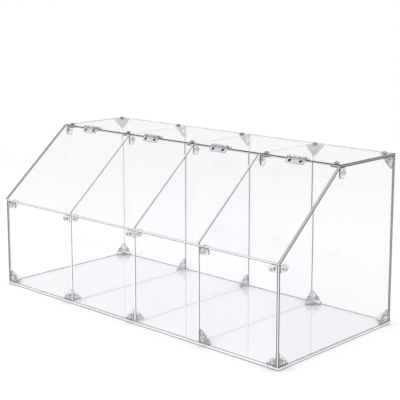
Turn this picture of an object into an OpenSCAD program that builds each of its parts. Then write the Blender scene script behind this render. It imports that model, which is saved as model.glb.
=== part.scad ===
// Clear sheet bin with four compartments and four sloping, hinged lids.
// X runs along the bin, -Y is the front and +Z is up.
// The origin is the bottom centre of the whole bin.

/* [Bin] */
// Length over the two end panels
bin_w = 600; // [480:10:800]
// Depth over the front and back panels
bin_d = 270; // [240:5:330]
// Height to the upper face of the top panel
bin_h = 265; // [230:5:310]
// Thickness of every clear sheet
sheet_t = 4; // [2:0.5:5]
// Chamfer along the edges of every sheet
edge_ease = 0.4; // [0.2:0.1:0.8]
// Height of the low front panel's upper edge
front_h = 147; // [120:1:170]
// Depth of the fixed top panel
top_d = 138; // [110:1:160]

/* [Dividers] */
// How far divider 1 stands to the right of an even quarter
divider_1_shift = 18; // [-20:1:20]
// How far divider 2 stands to the right of the middle
divider_2_shift = 17; // [-20:1:20]
// How far divider 3 stands to the right of an even quarter
divider_3_shift = 0; // [-20:1:20]

/* [Joints] */
// Air film between two pieces that are screwed together
joint_gap = 0.05; // [0.02:0.01:0.1]

/* [Lids] */
// Gap between two neighbouring lids
lid_gap = 1; // [0.4:0.1:2]
// Gap between a closed lid and the sloping edges under it
lid_rest_gap = 0.2; // [0.1:0.1:0.5]
// Distance from the bend line down to a lid's upper edge
lid_top_gap = 1.5; // [1:0.5:2.5]

/* [Corner brackets] */
// Length of a bracket along each edge
bracket_leg = 19; // [17:1:28]
// Thickness of a bracket's three flanges
bracket_t = 2; // [1.5:0.5:3]
// Width of the blunt end of each leg
bracket_nose = 3; // [2:0.5:4]
// Distance from a screw's axis to the two walls beside it
bracket_hole = 7.5; // [7.5:0.5:8.5]
// Radius of the boss round each screw
boss_r = 3.8; // [3:0.1:4]

/* [Clips] */
// Length of each leg of an L clip
clip_leg = 17.5; // [14:0.5:20]
// Width of an L clip
clip_w = 10; // [8:1:14]
// Thickness of an L clip
clip_t = 2.5; // [2:0.25:3]
// Distance from a clip's screw to the wall beside it
clip_hole = 8; // [7:0.5:9]
// From the front panel's upper edge down to the middle of a clip
clip_drop = 7; // [7:0.5:12]
// From the top panel's front edge back to the middle of a clip
clip_setback = 7.5; // [7:0.5:12]

/* [Screws] */
// Radius of the screws that hold the panels
screw_r = 2; // [1.5:0.25:2]
// How far these screws reach past the sheet
screw_reach = 3.5; // [3:0.5:5]
// Radius of a domed screw head
head_r = 4; // [3.5:0.25:4.5]
// Height of a domed screw head
head_h = 2.6; // [2:0.1:3.2]
// Height of the straight rim of a domed head
head_rim = 1.2; // [0.6:0.1:1.5]
// Radius of the flush heads under the base
flush_head_r = 3.7; // [3:0.1:3.9]
// Radial play of a screw in a sheet
screw_play = 0.15; // [0.1:0.05:0.3]
// Radial play of a screw in a moulding
thread_play = 0.05; // [0.05:0.05:0.1]

/* [Hinges] */
// Length of a hinge along its pin
hinge_w = 33; // [27:1:50]
// Reach of each leaf from the pin's axis
leaf_d = 11; // [10.5:0.5:18]
// Thickness of a leaf
leaf_t = 2; // [1.5:0.25:2]
// Radius of a leaf's rounded corners
leaf_corner_r = 2; // [1:0.5:2.5]
// Radius of the knuckles
knuckle_r = 2.4; // [2.2:0.1:3]
// End gap between two knuckles
knuckle_gap = 0.3; // [0.2:0.1:0.6]
// Radius of the hinge pin
pin_r = 1.1; // [0.8:0.1:1.3]
// Radius of the pin's head
pin_head_r = 1.7; // [1.5:0.1:2.1]
// Length of the pin's head
pin_head_l = 0.8; // [0.5:0.1:1.5]
// Radial play of the pin in the lid's knuckle
pin_play = 0.08; // [0.05:0.01:0.1]
// Distance between the two screws of a leaf
leaf_screw_pitch = 20; // [16:1:22]
// Distance from the pin's axis to a leaf's screws
leaf_screw_d = 6.5; // [6:0.25:7.5]
// Radius of the small screws in the leaves
small_screw_r = 1.5; // [1:0.25:1.75]
// Radius of their flush heads
small_head_r = 2.5; // [2.25:0.25:2.75]

/* [Hidden] */
$fn = 48;
// Overrun of a cut past the face that it opens
cut = 1;
// Depth of a screw head below the face that it is flush with
flush_gap = 0.1;
// How far a small screw stops short of the sheet's far face
small_screw_short = 0.2;
// Radial play of the pin in the fixed knuckles, which grip it
pin_grip_play = 0.02;
// Space between a knuckle and the other leaf's plate or the sheet under it
notch_gap = 0.4;
knuckle_rise = 0.1;
// Cross recess of the domed heads, as length, width and depth
recess = [4.2, 1, 1.3];
// Cross recess of the flush heads
small_recess = [2.8, 0.8, 0.9];

clear_sheet = [0.86, 0.92, 0.94, 0.35];
clear_lid = [0.9, 0.94, 0.97, 0.35];
clear_moulding = [0.8, 0.8, 0.82, 0.7];
bright_steel = [0.78, 0.79, 0.8];
dark_steel = [0.25, 0.25, 0.27];

compartments = 4;
uprights = [0:compartments];
lids = [1:compartments];
pitch = bin_w / compartments;

inner_y = bin_d / 2 - sheet_t;
under_z = bin_h - sheet_t;
// Lower and upper ends of the sheets that stand between the base and the top
foot_z = sheet_t + joint_gap;
head_z = under_z - joint_gap;
top_front_y = bin_d / 2 - top_d;
front_clip_z = front_h - clip_drop;
top_clip_y = top_front_y + clip_setback;
boss_h = screw_reach - bracket_t;

// The uprights slope from the front panel's edge to the top panel's edge
slope = atan((under_z - front_h) / (top_front_y + bin_d / 2));
function slope_z(y) = front_h + (y + bin_d / 2) * tan(slope);
function slope_y(z) = (z - front_h) / tan(slope) - bin_d / 2;

// The lid's outer face and the top panel's upper face meet at the bend line
bend_y = top_front_y + sheet_t / tan(slope) - (sheet_t + lid_rest_gap) / sin(slope);
axis_rise = knuckle_r + knuckle_rise;
bend_to_axis = axis_rise * tan(slope / 2);
axis_y = bend_y - bend_to_axis;
axis_z = bin_h + axis_rise;
lid_upper = lid_top_gap + bend_to_axis;
lid_lower = (bend_y + sheet_t * sin(slope) + bin_d / 2) / cos(slope) + bend_to_axis;

knuckle_l = hinge_w / 3;
notch_d = knuckle_r + notch_gap;

// Lines between the compartments, with the bin's two ends as first and last.
// The hinges keep an even pitch wherever the dividers stand.
divider_shift = [0, divider_1_shift, divider_2_shift, divider_3_shift, 0];
function line_x(i) = i * pitch - bin_w / 2 + divider_shift[i];
function hinge_x(i) = (i - 0.5) * pitch - bin_w / 2;
function lid_start_x(i) = line_x(i - 1) + lid_gap / 2;
function lid_w(i) = line_x(i) - line_x(i - 1) - lid_gap;

// Side of each upright that carries the mouldings: 1 faces +X, -1 faces -X
moulding_side = [1, -1, -1, 1, -1];
function upright_x(i) =
    i == 0 ? line_x(i) + sheet_t / 2 :
    i == compartments ? line_x(i) - sheet_t / 2 :
    line_x(i);
function wall_x(i) = upright_x(i) + moulding_side[i] * sheet_t / 2;
function off_wall_x(i, distance) = wall_x(i) + moulding_side[i] * distance;

function named(stem, numbers) = [for (i = numbers) str(stem, i)];

// Places of the screws. The children's origin lies on the outer face of the
// panel, and their +Z points inward.

module at_base_screws() {
    for (i = uprights, side = [-1, 1])
        translate([off_wall_x(i, bracket_hole), side * (inner_y - bracket_hole), 0])
            children();
}

module at_front_screws() {
    for (i = uprights, place = [[bracket_hole, sheet_t + bracket_hole], [clip_hole, front_clip_z]])
        translate([off_wall_x(i, place[0]), -bin_d / 2, place[1]])
            rotate([-90, 0, 0])
                children();
}

module at_back_screws() {
    for (i = uprights, z = [sheet_t + bracket_hole, under_z - bracket_hole])
        translate([off_wall_x(i, bracket_hole), bin_d / 2, z])
            rotate([90, 0, 0])
                children();
}

module at_top_screws() {
    for (i = uprights, place = [[bracket_hole, inner_y - bracket_hole], [clip_hole, top_clip_y]])
        translate([off_wall_x(i, place[0]), place[1], bin_h])
            rotate([180, 0, 0])
                children();
}

module at_upright_screws(i) {
    places = [
        [bracket_hole - inner_y, sheet_t + bracket_hole],
        [inner_y - bracket_hole, sheet_t + bracket_hole],
        [inner_y - bracket_hole, under_z - bracket_hole],
        [clip_hole - inner_y, front_clip_z],
        [top_clip_y, under_z - clip_hole]
    ];
    for (place = places)
        translate([off_wall_x(i, -sheet_t), place[0], place[1]])
            rotate([0, moulding_side[i] * 90, 0])
                children();
}

// Frames at a hinge's axis: the fixed one is level, and the lid's one lies
// along the closed lid, with -Y down the slope and +Z out of the lid.

module fixed_frame(i) {
    translate([hinge_x(i), axis_y, axis_z])
        children();
}

module lid_frame(i) {
    fixed_frame(i)
        rotate([slope, 0, 0])
            children();
}

// Screws of one leaf, in either frame. direction is 1 behind the axis, and -1
// in front of it. The children's +Z points into the leaf.
module at_leaf_screws(direction) {
    for (side = [-1, 1])
        translate([side * leaf_screw_pitch / 2, direction * leaf_screw_d, leaf_t - axis_rise])
            rotate([180, 0, 0])
                children();
}

// Screws and their holes

module cross_recess(size) {
    for (angle = [0, 90])
        rotate(angle)
            cube([size[0], size[1], 2 * size[2]], center = true);
}

module domed_screw() {
    dome_h = head_h - head_rim;
    dome_r = (head_r * head_r + dome_h * dome_h) / (2 * dome_h);
    translate([0, 0, -joint_gap])
        difference() {
            union() {
                cylinder(r = screw_r, h = sheet_t + screw_reach);
                intersection() {
                    translate([0, 0, -head_h])
                        cylinder(r = head_r, h = head_h);
                    translate([0, 0, dome_r - head_h])
                        sphere(r = dome_r);
                }
            }
            translate([0, 0, -head_h])
                cross_recess(recess);
        }
}

module flush_screw(shank_r, top_r, length) {
    difference() {
        union() {
            translate([0, 0, flush_gap])
                cylinder(r1 = top_r, r2 = shank_r, h = top_r - shank_r);
            translate([0, 0, flush_gap])
                cylinder(r = shank_r, h = length - flush_gap);
        }
        translate([0, 0, flush_gap])
            cross_recess(small_recess);
    }
}

module screw_hole() {
    translate([0, 0, -cut])
        cylinder(r = screw_r + screw_play, h = sheet_t + 2 * cut);
}

// The countersink keeps the same radial play as the shank all the way down
module flush_hole(shank_r, top_r, depth) {
    mouth_r = top_r + screw_play + flush_gap;
    hole_r = shank_r + screw_play;
    cylinder(r1 = mouth_r, r2 = hole_r, h = mouth_r - hole_r);
    translate([0, 0, -cut])
        cylinder(r = hole_r, h = depth + 2 * cut);
}

module small_screw() {
    flush_screw(small_screw_r, small_head_r, leaf_t + sheet_t - small_screw_short);
}

module small_screw_hole() {
    flush_hole(small_screw_r, small_head_r, leaf_t + sheet_t);
}

// Panels

// Sheet on the floor, with eased edges, whose convex outline is the children
module sheet() {
    hull() {
        translate([0, 0, edge_ease])
            linear_extrude(sheet_t - 2 * edge_ease)
                children();
        linear_extrude(sheet_t)
            offset(delta = -edge_ease)
                children();
    }
}

// Sheet between the two side panels, from the base up to height top_z. Its
// rear face lies at y.
module cross_sheet(y, top_z) {
    length = bin_w - 2 * (sheet_t + joint_gap);
    translate([0, y, 0])
        rotate([90, 0, 0])
            sheet()
                translate([-length / 2, foot_z])
                    square([length, top_z - foot_z]);
}

module base_panel() {
    color(clear_sheet)
        difference() {
            sheet()
                square([bin_w, bin_d], center = true);
            at_base_screws()
                flush_hole(screw_r, flush_head_r, sheet_t);
        }
}

module back_panel() {
    color(clear_sheet)
        difference() {
            cross_sheet(bin_d / 2, head_z);
            at_back_screws()
                screw_hole();
        }
}

module front_panel() {
    color(clear_sheet)
        difference() {
            cross_sheet(-inner_y, front_h);
            at_front_screws()
                screw_hole();
        }
}

module top_panel() {
    color(clear_sheet)
        difference() {
            translate([-bin_w / 2, top_front_y, under_z])
                sheet()
                    square([bin_w, top_d]);
            at_top_screws()
                screw_hole();
            for (i = lids)
                fixed_frame(i)
                    at_leaf_screws(1)
                        small_screw_hole();
        }
}

// One upright, whose front and back edges lie half_d from the middle
module upright(i, half_d) {
    color(clear_sheet)
        difference() {
            translate([upright_x(i) - sheet_t / 2, 0, 0])
                rotate([90, 0, 90])
                    sheet()
                        polygon([
                            [-half_d, foot_z],
                            [half_d, foot_z],
                            [half_d, head_z],
                            [slope_y(head_z), head_z],
                            [-half_d, slope_z(-half_d)]
                        ]);
            at_upright_screws(i)
                screw_hole();
        }
}

module left_side() {
    upright(0, bin_d / 2);
}

module right_side() {
    upright(compartments, bin_d / 2);
}

module divider(i) {
    upright(i, inner_y - joint_gap);
}

module lid(i) {
    color(clear_lid)
        lid_frame(i)
            difference() {
                translate([lid_start_x(i) - hinge_x(i), -lid_lower, -axis_rise - sheet_t])
                    sheet()
                        square([lid_w(i), lid_lower - lid_upper]);
                at_leaf_screws(-1)
                    small_screw_hole();
            }
}

// Three-way corner brackets

// Repeats a shape that stands on the floor of a corner on its two walls
module on_three_walls() {
    children();
    rotate([90, 0, 90])
        children();
    rotate([90, 0, 90])
        rotate([90, 0, 90])
            children();
}

// One bracket, in a corner at the origin whose walls face +X, +Y and +Z
module corner_bracket() {
    color(clear_moulding)
        difference() {
            on_three_walls()
                union() {
                    translate([joint_gap, joint_gap, joint_gap])
                        linear_extrude(bracket_t)
                            polygon([
                                [0, 0],
                                [bracket_leg, 0],
                                [bracket_leg, bracket_nose],
                                [bracket_nose, bracket_leg],
                                [0, bracket_leg]
                            ]);
                    translate([bracket_hole, bracket_hole, joint_gap])
                        cylinder(r = boss_r, h = bracket_t + boss_h);
                }
            on_three_walls()
                translate([bracket_hole, bracket_hole, -cut])
                    cylinder(r = screw_r + thread_play, h = screw_reach + 2 * cut);
        }
}

// Puts children in a corner of upright i. y_side and z_side are 1 where the
// corner's walls face +Y and +Z, and -1 where they face the other way.
module in_corner(i, y, y_side, z, z_side) {
    translate([wall_x(i), y, z])
        mirror([moulding_side[i] < 0 ? 1 : 0, 0, 0])
            mirror([0, y_side < 0 ? 1 : 0, 0])
                mirror([0, 0, z_side < 0 ? 1 : 0])
                    children();
}

module bottom_front_bracket(number) {
    in_corner(number - 1, -inner_y, 1, sheet_t, 1)
        corner_bracket();
}

module bottom_back_bracket(number) {
    in_corner(number - 1, inner_y, -1, sheet_t, 1)
        corner_bracket();
}

module top_back_bracket(number) {
    in_corner(number - 1, inner_y, -1, under_z, -1)
        corner_bracket();
}

// L clips

// One leg, flat on the floor, with a full-radius end
module clip_plate() {
    end_r = clip_w / 2;
    difference() {
        translate([joint_gap, 0, joint_gap])
            linear_extrude(clip_t)
                union() {
                    translate([0, -end_r])
                        square([clip_leg - end_r, clip_w]);
                    translate([clip_leg - end_r, 0])
                        circle(r = end_r);
                }
        translate([clip_hole, 0, -cut])
            cylinder(r = screw_r + thread_play, h = clip_t + 2 * cut);
    }
}

// One clip, on a floor that faces +Z and a wall that faces +X
module clip() {
    color(clear_moulding)
        union() {
            clip_plate();
            mirror([1, 0, -1])
                clip_plate();
        }
}

module front_clip(number) {
    in_corner(number - 1, -inner_y, 1, front_clip_z, 1)
        rotate([-90, 0, 0])
            clip();
}

module top_clip(number) {
    in_corner(number - 1, top_clip_y, 1, under_z, -1)
        clip();
}

// Hinges

// One leaf behind the axis. knuckles lists each one's start and length along X.
module hinge_leaf(knuckles, bore_r) {
    plate_front = notch_d;
    color(clear_moulding)
        difference() {
            union() {
                translate([0, 0, joint_gap - axis_rise])
                    linear_extrude(leaf_t - joint_gap)
                        union() {
                            translate([-hinge_w / 2, plate_front])
                                square([hinge_w, leaf_d - leaf_corner_r - plate_front]);
                            translate([leaf_corner_r - hinge_w / 2, plate_front])
                                square([hinge_w - 2 * leaf_corner_r, leaf_d - plate_front]);
                            for (side = [-1, 1])
                                translate([side * (hinge_w / 2 - leaf_corner_r), leaf_d - leaf_corner_r])
                                    circle(r = leaf_corner_r);
                            for (knuckle = knuckles)
                                translate([knuckle[0], 0])
                                    square([knuckle[1], plate_front + leaf_corner_r / 2]);
                        }
                for (knuckle = knuckles)
                    translate([knuckle[0], 0, 0])
                        rotate([0, 90, 0])
                            cylinder(r = knuckle_r, h = knuckle[1]);
            }
            rotate([0, 90, 0])
                cylinder(r = bore_r, h = hinge_w + 2 * cut, center = true);
            at_leaf_screws(1)
                small_screw_hole();
        }
}

module hinge_fixed_leaf(i) {
    inner_end = (knuckle_l + knuckle_gap) / 2;
    length = hinge_w / 2 - inner_end;
    fixed_frame(i)
        hinge_leaf([[-hinge_w / 2, length], [inner_end, length]], pin_r + pin_grip_play);
}

module hinge_lid_leaf(i) {
    length = knuckle_l - knuckle_gap;
    lid_frame(i)
        mirror([0, 1, 0])
            hinge_leaf([[-length / 2, length]], pin_r + pin_play);
}

module hinge_pin(i) {
    color(dark_steel)
        fixed_frame(i)
            rotate([0, 90, 0])
                union() {
                    translate([0, 0, -hinge_w / 2])
                        cylinder(r = pin_r, h = hinge_w + pin_head_l);
                    translate([0, 0, hinge_w / 2 + joint_gap])
                        cylinder(r = pin_head_r, h = pin_head_l);
                }
}

// Groups of screws

module base_screws() {
    color(bright_steel)
        at_base_screws()
            flush_screw(screw_r, flush_head_r, sheet_t + screw_reach);
}

module front_screws() {
    color(bright_steel)
        at_front_screws()
            domed_screw();
}

module back_screws() {
    color(bright_steel)
        at_back_screws()
            domed_screw();
}

module top_screws() {
    color(bright_steel)
        at_top_screws()
            domed_screw();
}

module upright_screws() {
    color(bright_steel)
        for (i = uprights)
            at_upright_screws(i)
                domed_screw();
}

module hinge_fixed_screws() {
    color(dark_steel)
        for (i = lids)
            fixed_frame(i)
                at_leaf_screws(1)
                    small_screw();
}

module hinge_lid_screws(i) {
    color(dark_steel)
        lid_frame(i)
            at_leaf_screws(-1)
                small_screw();
}

base_panel();
back_panel();
front_panel();
top_panel();
left_side();
right_side();
base_screws();
front_screws();
back_screws();
top_screws();
upright_screws();
hinge_fixed_screws();

for (i = [1:compartments - 1])
    divider(i);

for (i = lids) {
    lid(i);
    hinge_fixed_leaf(i);
    hinge_lid_leaf(i);
    hinge_pin(i);
    hinge_lid_screws(i);
}

for (i = [1:compartments + 1]) {
    bottom_front_bracket(i);
    bottom_back_bracket(i);
    top_back_bracket(i);
    front_clip(i);
    top_clip(i);
}
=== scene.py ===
"""Looks of a clear bin with four hinged lids: acrylic sheets, moulded connectors, clear hinges and screws."""

import math

import bpy
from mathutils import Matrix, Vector

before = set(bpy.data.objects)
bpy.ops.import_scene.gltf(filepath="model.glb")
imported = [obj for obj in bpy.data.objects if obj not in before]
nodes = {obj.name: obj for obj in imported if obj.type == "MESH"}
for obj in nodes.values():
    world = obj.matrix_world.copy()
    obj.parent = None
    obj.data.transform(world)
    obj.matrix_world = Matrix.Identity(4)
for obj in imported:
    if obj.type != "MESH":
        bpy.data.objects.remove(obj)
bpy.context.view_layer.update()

scene = bpy.context.scene

# Camera, fitted to the corners of the bin in the photograph. Its turn is about the vertical, from a look
# along +Y, and its dip is below the horizon, both in radians. The sensor and the lens are in millimetres.
CAMERA_PLACE = (1.135, -1.173, 0.5196)
CAMERA_TURN = 0.7566
CAMERA_DIP = 0.1722
CAMERA_SENSOR = 36.0
CAMERA_LENS = 93.54
CAMERA_SHIFT = -0.1

camera_data = bpy.data.cameras.new("camera")
camera_data.sensor_width = CAMERA_SENSOR
camera_data.lens = CAMERA_LENS
camera_data.shift_y = CAMERA_SHIFT
camera = bpy.data.objects.new("camera", camera_data)
camera.location = CAMERA_PLACE
camera.rotation_euler = (math.pi / 2 - CAMERA_DIP, 0, CAMERA_TURN)
scene.collection.objects.link(camera)
scene.camera = camera

# Light crosses many clear faces before it leaves the bin.
CLEAR_BOUNCES = 240
TRANSPARENT_BOUNCES = 64
scene.cycles.max_bounces = CLEAR_BOUNCES
scene.cycles.transmission_bounces = CLEAR_BOUNCES
scene.cycles.glossy_bounces = CLEAR_BOUNCES
scene.cycles.transparent_max_bounces = TRANSPARENT_BOUNCES

# Node helpers. A Mix node has sockets for every kind of data, so those in use are given by their places.
COLOUR_INPUTS, COLOUR_RESULT = (0, 6, 7), 2
VALUE_INPUTS, VALUE_RESULT = (0, 2, 3), 0


class Graph:
    """A short way to build a node tree."""

    def __init__(self, tree):
        self.tree = tree
        tree.nodes.clear()

    def node(self, kind, settings=None, **sockets):
        """Add a node. An underscore in a socket's name stands for a space."""
        new = self.tree.nodes.new(kind)
        for name, value in (settings or {}).items():
            setattr(new, name, value)
        for name, value in sockets.items():
            self.feed(new.inputs[name.replace("_", " ")], value)
        return new

    def feed(self, socket, value):
        """Link a socket to another, or set its value."""
        if isinstance(value, bpy.types.NodeSocket):
            self.tree.links.new(value, socket)
        else:
            socket.default_value = value

    def feed_in_order(self, new, *values):
        """Feed a node's sockets from the first one on."""
        for socket, value in zip(new.inputs, values):
            self.feed(socket, value)

    def math(self, operation, *values):
        new = self.node("ShaderNodeMath", {"operation": operation})
        self.feed_in_order(new, *values)
        return new.outputs[0]

    def vector(self, operation, result, *values):
        new = self.node("ShaderNodeVectorMath", {"operation": operation})
        self.feed_in_order(new, *values)
        return new.outputs[result]

    def dot(self, a, b):
        return self.vector("DOT_PRODUCT", "Value", a, b)

    def alignment(self, a, b):
        """1 where two directions lie along one line, either way round, and 0 where they are square."""
        return self.math("ABSOLUTE", self.dot(a, b))

    def noise(self, vector, scale, detail=3.0, rough=0.5):
        new = self.node("ShaderNodeTexNoise", Vector=vector, Scale=scale, Detail=detail, Roughness=rough)
        return new.outputs["Fac"]

    def span(self, value, low, high, to_low=0.0, to_high=1.0):
        """Carry a value over from one range to another, and hold it at the ends."""
        new = self.node("ShaderNodeMapRange", Value=value)
        for name, limit in (("From Min", low), ("From Max", high), ("To Min", to_low), ("To Max", to_high)):
            self.feed(new.inputs[name], limit)
        return new.outputs["Result"]

    def blend(self, kind, places, result, values):
        new = self.node("ShaderNodeMix", {"data_type": kind})
        for place, value in zip(places, values):
            self.feed(new.inputs[place], value)
        return new.outputs[result]

    def blend_colour(self, factor, a, b):
        """Colour `a` where the factor is 0, and `b` where it is 1."""
        return self.blend("RGBA", COLOUR_INPUTS, COLOUR_RESULT, (factor, a, b))

    def blend_value(self, factor, a, b):
        """Number `a` where the factor is 0, and `b` where it is 1."""
        return self.blend("FLOAT", VALUE_INPUTS, VALUE_RESULT, (factor, a, b))

    def mix(self, factor, a, b):
        """Shader `a` where the factor is 0, and `b` where it is 1."""
        new = self.node("ShaderNodeMixShader")
        self.feed_in_order(new, factor, a, b)
        return new.outputs[0]

    def rays(self, *names):
        """1 for rays of these kinds."""
        path = self.node("ShaderNodeLightPath")
        total = path.outputs[names[0]]
        for name in names[1:]:
            total = self.math("MAXIMUM", total, path.outputs[name])
        return total


def new_material(name):
    """A material without nodes, and a graph to build its nodes with."""
    material = bpy.data.materials.new(name)
    material.use_nodes = True
    return material, Graph(material.node_tree)


def rgb(r, g, b):
    """An opaque colour."""
    return (r, g, b, 1.0)


def darker(colour, share):
    """A colour at a share of its brightness."""
    return rgb(*(share * part for part in colour[:3]))


def clear_output(g, solid, shadow, tint, density):
    """Join a clear shader to the output. Shadow and diffuse rays pass straight through, tinted `shadow`."""
    through = g.node("ShaderNodeBsdfTransparent", Color=shadow)
    surface = g.mix(g.rays("Is Shadow Ray", "Is Diffuse Ray"), solid.outputs[0], through.outputs[0])
    absorb = g.node("ShaderNodeVolumeAbsorption", Color=tint, Density=density)
    g.node("ShaderNodeOutputMaterial", Surface=surface, Volume=absorb.outputs[0])


along_x, along_y, along_z = (1, 0, 0), (0, 1, 0), (0, 0, 1)
nowhere = (0, 0, 0)

# Noise seldom leaves this range.
NOISE_RANGE = (0.3, 0.7)

# Acrylic sheet. A cut edge scatters light between two dark lines of painted shade, one along each of its
# corners, and some single edges carry a painted shade of their own. Widths and depths are in metres. A least
# value is the alignment from which a face counts as looking along a direction. The detail and the roughness
# of a noise are given together.
ACRYLIC_IOR = 1.49
FACE = rgb(0.994, 0.991, 1.0)
# Painted shade: the right side's faces are tinted greyer than the other sheets.
PAINTED_SHADE_FACE = rgb(0.95, 0.947, 0.957)
FACE_SHADOW = rgb(0.975, 0.975, 0.98)
EDGE_SHADOW = rgb(0.8, 0.8, 0.82)
EDGE_CORE = rgb(0.98, 0.98, 0.985)
# Painted shade: the near-black colour of the lines along a cut edge's corners.
PAINTED_SHADE_LINE = rgb(0.04, 0.04, 0.045)
CORE_CLEAR = 0.25
LINE_CLEAR = 0.05
LINE_WIDTH = 0.0009
LINE_WIDTHS = (LINE_WIDTH, LINE_WIDTH)
LINE_BLUR = 0.0002
SHADE_DEPTH = 0.0006
LEAST_FOR_BROAD = 0.9
LEAST_FOR_UNLINED = 0.5
SMUDGES = 9.0
SMUDGE_DETAIL = (4.0, 0.6)
SMUDGE_RANGE = (0.35, 0.75)
FACE_ROUGH = (0.0, 0.012)
SAW_MARKS = (900.0, 900.0, 60.0)
SAW_DETAIL = 2.0
EDGE_ROUGH = (0.02, 0.08)
ACRYLIC_TINT = rgb(0.55, 0.58, 0.62)
ACRYLIC_DENSITY = 0.4


def reach(piece, direction):
    """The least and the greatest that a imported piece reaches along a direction."""
    along = [vertex.co.dot(Vector(direction)) for vertex in nodes[piece].data.vertices]
    return min(along), max(along)


def painted_shade_lines(g, here, piece, broad, widths):
    """1 within `widths` of the sheet's two large faces, where the dark lines of painted shade go."""
    low, high = reach(piece, broad)
    low_end, high_start = low + widths[0], high - widths[1]
    across = g.dot(here, broad)
    lower = g.span(across, low_end - LINE_BLUR, low_end + LINE_BLUR, 1.0, 0.0)
    upper = g.span(across, high_start - LINE_BLUR, high_start + LINE_BLUR)
    return g.math("MAXIMUM", lower, upper)


def core_colour(g, here, piece, painted_shades):
    """Colour of a cut edge between its painted lines. Each painted shade is the direction of an edge, and the
    dark tone painted on it.
    """
    colour = EDGE_CORE
    for direction, tone in painted_shades:
        start = reach(piece, direction)[1] - SHADE_DEPTH
        colour = g.blend_colour(g.math("GREATER_THAN", g.dot(here, direction), start), colour, tone)
    return colour


def acrylic(
    piece, broad, widths=LINE_WIDTHS, core_clear=CORE_CLEAR, face=FACE, painted_shades=(), unlined=nowhere
):
    """Clear sheet whose large faces look along `broad` and are tinted `face`.

    The dark lines, which are painted shade, are as wide as `widths` says, and left out on edges that look
    along
    `unlined`. Between them the edge lets `core_clear` of the light through.
    """
    material, g = new_material("clear_" + piece)
    place = g.node("ShaderNodeTexCoord")
    normal, here = place.outputs["Normal"], place.outputs["Object"]
    edge = g.math("LESS_THAN", g.alignment(normal, broad), LEAST_FOR_BROAD)
    lined = g.math("LESS_THAN", g.alignment(normal, unlined), LEAST_FOR_UNLINED)
    # Painted shade: dark lines along the corners of each cut edge.
    painted_line = g.math("MULTIPLY", painted_shade_lines(g, here, piece, broad, widths), lined)
    cut = g.blend_colour(painted_line, core_colour(g, here, piece, painted_shades), PAINTED_SHADE_LINE)
    smudges = g.noise(here, SMUDGES, *SMUDGE_DETAIL)
    face_rough = g.span(smudges, *SMUDGE_RANGE, *FACE_ROUGH)
    saw_marks = g.noise(g.vector("MULTIPLY", "Vector", here, SAW_MARKS), 1.0, SAW_DETAIL)
    edge_rough = g.span(saw_marks, *NOISE_RANGE, *EDGE_ROUGH)
    solid = g.node(
        "ShaderNodeBsdfPrincipled",
        Base_Color=g.blend_colour(edge, face, cut),
        Roughness=g.blend_value(edge, face_rough, edge_rough),
        Transmission_Weight=g.blend_value(edge, 1.0, g.blend_value(painted_line, core_clear, LINE_CLEAR)),
    )
    solid.inputs["IOR"].default_value = ACRYLIC_IOR
    shadow = g.blend_colour(edge, FACE_SHADOW, EDGE_SHADOW)
    clear_output(g, solid, shadow, ACRYLIC_TINT, ACRYLIC_DENSITY)
    return material


# Sheets. The lids are all parallel, and the ends and dividers slope with them. The greys are tones of painted
# shade on single edges, and the widths are of painted dark lines that are not as wide as usual.
PALE_GREY = rgb(0.6, 0.6, 0.61)
GREY = rgb(0.5, 0.5, 0.51)
MID_GREY = rgb(0.4, 0.4, 0.41)
DEEP_GREY = rgb(0.3, 0.3, 0.31)
NEAR_BLACK = rgb(0.1, 0.1, 0.1)
NO_LINE = 0.0
LID_WIDTH = 0.0003
BASE_WIDTH = 0.0011
DIVIDER_WIDTH = 0.0012
LEFT_WIDTH = 0.0014


def lid_normal():
    """The direction that a closed lid's outer face looks along."""
    largest = max(nodes["lid_1"].data.polygons, key=lambda polygon: polygon.area)
    normal = largest.normal.copy()
    return tuple(normal if normal.z > 0 else -normal)


slope = lid_normal()
front, back, left, right, down = (0, -1, 0), along_y, (-1, 0, 0), along_x, (0, 0, -1)
# Painted shade on the outer side edge of each end lid.
LID_PAINTED_SHADES = {"lid_1": ((left, DEEP_GREY),), "lid_4": ((right, GREY),)}


def divider_acrylic(piece):
    """Sheet between two compartments, with a painted dark line on its right and painted shade at its back."""
    return acrylic(piece, along_x, (NO_LINE, DIVIDER_WIDTH), core_clear=0.0, painted_shades=((back, NEAR_BLACK),))


def lid_acrylic(piece):
    """Lid with thin painted dark lines at its upper and lower edges and none along its sides."""
    painted_shades = LID_PAINTED_SHADES.get(piece, ())
    return acrylic(piece, slope, (LID_WIDTH, LID_WIDTH), core_clear=0.0, painted_shades=painted_shades, unlined=along_x)


# Each edge tone given to a sheet here is a painted shade.
SHEETS = {
    "base_panel": acrylic("base_panel", along_z, (BASE_WIDTH, NO_LINE)),
    "top_panel": acrylic(
        "top_panel", along_z, painted_shades=((front, NEAR_BLACK), (right, DEEP_GREY), (left, DEEP_GREY))
    ),
    "front_panel": acrylic("front_panel", along_y),
    "back_panel": acrylic("back_panel", along_y, painted_shades=((right, MID_GREY),)),
    "left_side": acrylic(
        "left_side", along_x, (LINE_WIDTH, LEFT_WIDTH), painted_shades=((front, MID_GREY), (slope, PALE_GREY))
    ),
    "right_side": acrylic(
        "right_side",
        along_x,
        # The greyer face tint is painted shade.
        face=PAINTED_SHADE_FACE,
        painted_shades=((back, PALE_GREY), (slope, PALE_GREY), (down, NEAR_BLACK)),
    ),
}
SHEETS.update({name: divider_acrylic(name) for name in nodes if name.startswith("divider_")})
SHEETS.update({name: lid_acrylic(name) for name in nodes if name.startswith("lid_")})

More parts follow.
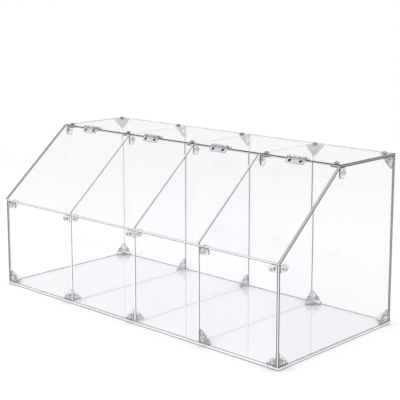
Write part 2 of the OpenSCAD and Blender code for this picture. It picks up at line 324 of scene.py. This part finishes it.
# Moulded plastic. An outline tone, painted shade, darkens the bosses' walls, the slanting ends and the faces
# that look along `sides`. A least value is an alignment again. A clear value is the share of the light that
# goes through.
MOULDED_IOR = 1.55
MOULDED_SHADOW = rgb(0.78, 0.78, 0.8)
MOULDED_TINT = rgb(0.3, 0.3, 0.33)
MOULDED_DENSITY = 20.0
OUTLINE_CLEAR = 0.4
LEAST_FOR_SQUARE = 0.97
LEAST_FOR_SIDE = 0.3
FLOW_MARKS = 140.0
FLOW_DETAIL = (3.0, 0.55)
FLOW_SHADE = 0.94
FLOW_DEPTH = 0.0003
FLOW_RIPPLE = 0.15


def painted_outline_faces(g, normal, sides):
    """1 on faces that are square to no axis, and on those that look along `sides`, where the painted shade
    goes.
    """
    squarest = 0.0
    for axis in (along_x, along_y, along_z):
        squarest = g.math("MAXIMUM", squarest, g.alignment(normal, axis))
    slanting = g.math("LESS_THAN", squarest, LEAST_FOR_SQUARE)
    return g.math("MAXIMUM", slanting, g.math("GREATER_THAN", g.alignment(normal, sides), LEAST_FOR_SIDE))


def moulded(
    name, colour, clear, rough, density=MOULDED_DENSITY, ripple=FLOW_RIPPLE, painted_outline=None, sides=nowhere
):
    """Clear injection-moulded plastic with faint flow marks. `rough` is its least and greatest roughness."""
    material, g = new_material(name)
    place = g.node("ShaderNodeTexCoord")
    flow = g.noise(place.outputs["Object"], FLOW_MARKS, *FLOW_DETAIL)
    tone = g.blend_colour(g.span(flow, *NOISE_RANGE), colour, darker(colour, FLOW_SHADE))
    if painted_outline:
        # Painted shade: slanting faces and those along `sides` take the darker outline tone.
        painted_rim = painted_outline_faces(g, place.outputs["Normal"], sides)
        tone = g.blend_colour(painted_rim, tone, painted_outline)
        clear = g.blend_value(painted_rim, clear, OUTLINE_CLEAR)
    bump = g.node("ShaderNodeBump", Strength=ripple, Distance=FLOW_DEPTH, Height=flow)
    solid = g.node(
        "ShaderNodeBsdfPrincipled",
        Base_Color=tone,
        Roughness=g.span(flow, *NOISE_RANGE, *rough),
        Transmission_Weight=clear,
        Normal=bump.outputs[0],
    )
    solid.inputs["IOR"].default_value = MOULDED_IOR
    clear_output(g, solid, MOULDED_SHADOW, MOULDED_TINT, density)
    return material


# Glossy connectors and clips
GLOSSY_PLASTIC = rgb(0.98, 0.98, 0.985)
GLOSSY_CLEAR = 0.97
GLOSSY_ROUGH = (0.0, 0.05)
# Painted shade: the outline tones below.
SOFT_PAINTED_OUTLINE = rgb(0.3, 0.3, 0.31)
DARK_PAINTED_OUTLINE = rgb(0.08, 0.08, 0.085)
BRACKET_DENSITY = 15.0
BRACKET_RIPPLE = 0.5
CLIP_DENSITY = 40.0
CLIP_RIPPLE = 0.3


def glossy_bracket(name):
    """The bottom brackets' plastic, with a soft outline of painted shade."""
    return moulded(
        name, GLOSSY_PLASTIC, GLOSSY_CLEAR, GLOSSY_ROUGH, BRACKET_DENSITY, BRACKET_RIPPLE, SOFT_PAINTED_OUTLINE
    )


def glossy_clip(name, sides=nowhere):
    """The plastic of the clips and of the bracket at the top right corner, with a dark outline of painted
    shade.
    """
    return moulded(
        name, GLOSSY_PLASTIC, GLOSSY_CLEAR, GLOSSY_ROUGH, CLIP_DENSITY, CLIP_RIPPLE, DARK_PAINTED_OUTLINE, sides
    )


# Hinge leaves and the frosted connectors under the top sheet
LEAF_GREY = rgb(0.74, 0.74, 0.76)
LEAF_CLEAR = 0.6
LEAF_ROUGH = (0.08, 0.15)
KNUCKLE_GREY = rgb(0.93, 0.93, 0.95)
KNUCKLE_CLEAR = 0.95
KNUCKLE_ROUGH = (0.02, 0.08)
FROSTED_GREY = rgb(0.2, 0.2, 0.21)
FROSTED_CLEAR = 0.34
FROSTED_ROUGH = (0.2, 0.3)

# Metal screws and pins
GRAIN = 260.0
GRAIN_DETAIL = (4.0, 0.6)
GRAIN_SHADE = 0.82
GRAIN_STRENGTH = 0.1
GRAIN_DEPTH = 0.0001
NICKEL = rgb(0.72, 0.72, 0.73)
NICKEL_ROUGH = (0.12, 0.24)
DULL_NICKEL = rgb(0.4, 0.4, 0.41)
DULL_NICKEL_ROUGH = (0.15, 0.3)
BLACKENED = rgb(0.05, 0.05, 0.055)
BLACKENED_ROUGH = (0.25, 0.4)
PIN_STEEL = rgb(0.4, 0.4, 0.41)
PIN_ROUGH = (0.2, 0.35)


def metal(name, colour, rough):
    """Plated metal with a fine grain. `rough` holds its least and greatest roughness."""
    material, g = new_material(name)
    fine = g.noise(g.node("ShaderNodeTexCoord").outputs["Object"], GRAIN, *GRAIN_DETAIL)
    bump = g.node("ShaderNodeBump", Strength=GRAIN_STRENGTH, Distance=GRAIN_DEPTH, Height=fine)
    solid = g.node(
        "ShaderNodeBsdfPrincipled",
        Base_Color=g.blend_colour(g.span(fine, *NOISE_RANGE), colour, darker(colour, GRAIN_SHADE)),
        Metallic=1.0,
        Roughness=g.span(fine, *NOISE_RANGE, *rough),
        Normal=bump.outputs[0],
    )
    g.node("ShaderNodeOutputMaterial", Surface=solid.outputs[0])
    return material


nickel = metal("nickel_screw", NICKEL, NICKEL_ROUGH)
dull_nickel = metal("dull_nickel_screw", DULL_NICKEL, DULL_NICKEL_ROUGH)
blackened = metal("dark_screw", BLACKENED, BLACKENED_ROUGH)

# What each node is made of, by the start of its name. The first that fits is taken.
FITTINGS = {
    "hinge_lid_leaf_": moulded("grey_hinge_plastic", LEAF_GREY, LEAF_CLEAR, LEAF_ROUGH),
    "hinge_fixed_leaf_": moulded("clear_hinge_plastic", KNUCKLE_GREY, KNUCKLE_CLEAR, KNUCKLE_ROUGH),
    "hinge_fixed_screws": blackened,
    "hinge_lid_screws_": blackened,
    "hinge_pin_": metal("pin_steel", PIN_STEEL, PIN_ROUGH),
    "bottom_": glossy_bracket("clear_connector_plastic"),
    "top_back_bracket_5": glossy_clip("clear_corner_plastic"),
    "top_back_bracket_": moulded("frosted_connector_plastic", FROSTED_GREY, FROSTED_CLEAR, FROSTED_ROUGH),
    "front_clip_": glossy_clip("clear_front_clip_plastic", along_z),
    "top_clip_": glossy_clip("clear_top_clip_plastic", along_y),
    "top_screws": dull_nickel,
    "base_screws": nickel,
    "front_screws": nickel,
    "back_screws": nickel,
    "upright_screws": nickel,
}
PAINT = {**SHEETS, **FITTINGS}
for name, piece in nodes.items():
    material = next(PAINT[start] for start in PAINT if name.startswith(start))
    for slot in piece.material_slots:
        slot.material = material

# Floor: pale paper that turns white away from the bin. Lengths are in metres.
FLOOR_HALF = 6.0
FLOOR_DROP = 0.0003
FLOOR_GLOW = 0.05
FIBRES = 40.0
WHITE_FROM, WHITE_TO = 0.6, 1.6
PAPER, PAPER_DARK = rgb(0.8, 0.8, 0.8), rgb(0.79, 0.79, 0.79)
WHITE = rgb(1, 1, 1)


def floor_paper():
    """Matt paper with faint fibres. The camera and clear and shiny pieces see it turn white far out."""
    material, g = new_material("floor_paper")
    here = g.node("ShaderNodeTexCoord").outputs["Object"]
    away = g.vector("LENGTH", "Value", here)
    seen = g.rays("Is Camera Ray", "Is Glossy Ray", "Is Transmission Ray")
    fibre = g.span(g.noise(here, FIBRES), *NOISE_RANGE)
    matt = g.node("ShaderNodeBsdfDiffuse", Color=g.blend_colour(fibre, PAPER, PAPER_DARK))
    glow = g.node("ShaderNodeEmission", Color=WHITE, Strength=g.math("MULTIPLY", seen, FLOOR_GLOW))
    near = g.node("ShaderNodeAddShader")
    g.feed_in_order(near, matt.outputs[0], glow.outputs[0])
    far = g.node("ShaderNodeEmission", Color=WHITE, Strength=1.0)
    share = g.math("MULTIPLY", seen, g.span(away, WHITE_FROM, WHITE_TO))
    g.node("ShaderNodeOutputMaterial", Surface=g.mix(share, near.outputs[0], far.outputs[0]))
    return material


floor_mesh = bpy.data.meshes.new("floor")
floor_corners = [(FLOOR_HALF * x, FLOOR_HALF * y, 0) for x, y in ((-1, -1), (1, -1), (1, 1), (-1, 1))]
floor_mesh.from_pydata(floor_corners, [], [(0, 1, 2, 3)])
floor_mesh.materials.append(floor_paper())
floor = bpy.data.objects.new("floor", floor_mesh)
floor.location.z = -FLOOR_DROP
scene.collection.objects.link(floor)

# World: white all round. Shiny surfaces also see a darker ceiling, a dark screen that stands low in front on
# the right, and a wall behind that is a little greyer. A height is the sine of the angle above the horizon,
# and a side or middle is the cosine of the angle from the panel's own direction.
PLAIN_LEVEL = 0.9
CEILING_FROM, CEILING_TO, CEILING_LEVEL = 0.45, 0.75, 0.55
SCREEN_DIRECTION = (0.687, -0.726, 0.05)
SCREEN_SIDE, SCREEN_MIDDLE = 0.72, 0.86
SCREEN_TOP, SCREEN_CLEAR, SCREEN_LEVEL = 0.12, 0.22, 0.2
WALL_DIRECTION = (-0.687, 0.726, 0.0)
WALL_SIDE, WALL_MIDDLE = 0.5, 0.75
WALL_TOP, WALL_CLEAR, WALL_LEVEL = 0.3, 0.45, 0.9


def studio_world():
    """The world's light, at a level of its own for clear surfaces, shiny ones and the camera."""
    world = bpy.data.worlds.new("studio")
    world.use_nodes = True
    g = Graph(world.node_tree)
    aim = g.node("ShaderNodeTexCoord").outputs["Generated"]
    height = g.node("ShaderNodeSeparateXYZ", Vector=aim).outputs["Z"]

    def standing(direction, side, middle, top, clear, level):
        """The level of a panel that stands on the horizon, and 1 elsewhere."""
        across = g.span(g.dot(aim, direction), side, middle)
        there = g.math("MULTIPLY", across, g.span(height, top, clear, 1.0, 0.0))
        return g.span(there, 0.0, 1.0, 1.0, level)

    ceiling = g.span(height, CEILING_FROM, CEILING_TO, 1.0, CEILING_LEVEL)
    screen = standing(SCREEN_DIRECTION, SCREEN_SIDE, SCREEN_MIDDLE, SCREEN_TOP, SCREEN_CLEAR, SCREEN_LEVEL)
    wall = standing(WALL_DIRECTION, WALL_SIDE, WALL_MIDDLE, WALL_TOP, WALL_CLEAR, WALL_LEVEL)
    mirrored = g.math("MULTIPLY", g.math("MULTIPLY", ceiling, screen), wall)
    level = PLAIN_LEVEL
    by_kind = (("Is Transmission Ray", ceiling), ("Is Glossy Ray", mirrored), ("Is Camera Ray", 1.0))
    for kind, amount in by_kind:
        level = g.blend_value(g.rays(kind), level, amount)
    background = g.node("ShaderNodeBackground", Color=WHITE, Strength=level)
    g.node("ShaderNodeOutputWorld", Surface=background.outputs[0])
    return world


scene.world = studio_world()

# Lamps, aimed at the middle of the bin. Sizes are in metres and powers in watts.
LAMP_AIM = Vector((0, 0, 0.1))
KEY_PLACE, KEY_SIZE, KEY_POWER = (-1.2, -1.6, 2.2), (1.4, 1.0), 22
TOP_PLACE, TOP_SIZE, TOP_POWER = (0.4, 0.6, 2.4), (1.6, 1.6), 16


def softbox(name, place, size, power):
    """A rectangular studio lamp."""
    lamp = bpy.data.lights.new(name, "AREA")
    lamp.shape = "RECTANGLE"
    lamp.size, lamp.size_y = size
    lamp.energy = power
    holder = bpy.data.objects.new(name, lamp)
    holder.location = place
    holder.rotation_euler = (LAMP_AIM - Vector(place)).to_track_quat("-Z", "Y").to_euler()
    scene.collection.objects.link(holder)


softbox("key", KEY_PLACE, KEY_SIZE, KEY_POWER)
softbox("top", TOP_PLACE, TOP_SIZE, TOP_POWER)

scene.view_settings.view_transform = "Standard"
